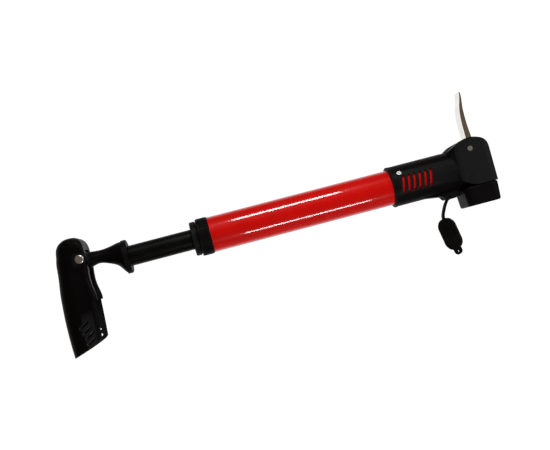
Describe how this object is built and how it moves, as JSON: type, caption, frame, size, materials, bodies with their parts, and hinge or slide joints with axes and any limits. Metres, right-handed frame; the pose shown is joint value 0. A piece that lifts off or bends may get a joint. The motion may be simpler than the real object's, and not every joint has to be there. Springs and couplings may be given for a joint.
{
  "type": "bicycle hand pump",
  "caption": "Slim bicycle hand pump with a painted barrel, folding channel handle, twin-valve head, upright thumb lever and hanging rubber dust cap.",
  "frame": {"origin": "on the barrel's axis, midway between the collar and the head sleeve, at the seat that a frame clip grips", "axes": "+X along the barrel towards the head, +Z towards the side the thumb lever stands on, valve ports open towards -Z"},
  "size_m": [0.3534, 0.0374, 0.1258],
  "materials": {
    "red_paint": "gloss red paint on aluminium tube",
    "black_plastic": "satin black moulded plastic",
    "black_anodised": "satin black anodised tube",
    "black_rubber": "matte black rubber",
    "grey_nylon": "natural grey nylon",
    "zinc_steel": "bright zinc-plated steel",
    "dark_steel": "blackened steel",
    "brass_pin": "turned brass",
    "lever_metal": "polished cast metal"
  },
  "bodies": {
    "barrel": {"barrel_tube": "red_paint", "barrel_end_collar": "black_plastic", "rod_guide_bush": "grey_nylon", "rod_wiper": "black_rubber", "head_housing": "black_plastic", "sleeve_screw": "zinc_steel", "port_cap": "black_plastic", "schrader_grommet": "black_rubber", "presta_grommet": "black_rubber", "lever_pin": "zinc_steel", "outlet_plug": "grey_nylon", "outlet_plug_seal": "black_rubber", "check_valve_spring": "zinc_steel", "strap_pin": "dark_steel"},
    "piston": {"piston_head": "grey_nylon", "piston_seal": "black_rubber", "piston_washer": "zinc_steel", "piston_screw": "zinc_steel", "stop_bumper": "black_rubber"},
    "rod": {"piston_rod": "black_anodised", "handle_neck": "black_plastic", "neck_cross_pin": "dark_steel", "handle_pivot_washers": "grey_nylon"},
    "handle": {"fold_handle": "black_plastic", "handle_pivot_rivet": "zinc_steel"},
    "lever": {"thumb_lever": "lever_metal"},
    "plunger": {"plunger_yoke": "grey_nylon", "yoke_seal": "black_rubber", "depressor_pin": "brass_pin"},
    "check_valve": {"check_valve_disc": "black_rubber"},
    "dust_cap_swing": {"dust_cap": "black_rubber"}
  },
  "joints": [
    {"name": "rod_slide", "type": "slide", "parent": "barrel", "child": "piston", "axis": [1, 0, 0], "range_m": [-0.09, 0.045]},
    {"name": "rod_turn", "type": "hinge", "parent": "piston", "child": "rod", "pos_m": [0, 0, 0], "axis": [1, 0, 0], "continuous": true},
    {"name": "handle_fold", "type": "hinge", "parent": "rod", "child": "handle", "pos_m": [-0.1725, 0, 0.0063], "axis": [0, -1, 0], "range_deg": [0, 90]},
    {"name": "lever_fold", "type": "hinge", "parent": "barrel", "child": "lever", "pos_m": [0.1397, 0, 0.0132], "axis": [0, -1, 0], "range_deg": [0, 72]},
    {"name": "plunger_slide", "type": "slide", "parent": "barrel", "child": "plunger", "axis": [0, 0, 1], "range_m": [0, 0.0015]},
    {"name": "check_valve_lift", "type": "slide", "parent": "barrel", "child": "check_valve", "axis": [1, 0, 0], "range_m": [0, 0.0009], "stiffness_N_per_m": 60},
    {"name": "dust_cap_hinge", "type": "hinge", "parent": "barrel", "child": "dust_cap_swing", "pos_m": [0.117, 0, -0.019], "axis": [0, -1, 0], "range_deg": [-45, 30]}
  ],
  "couplings": [
    {"joint": "plunger_slide", "follows": "lever_fold", "m_per_rad": 0.0011937}
  ]
}
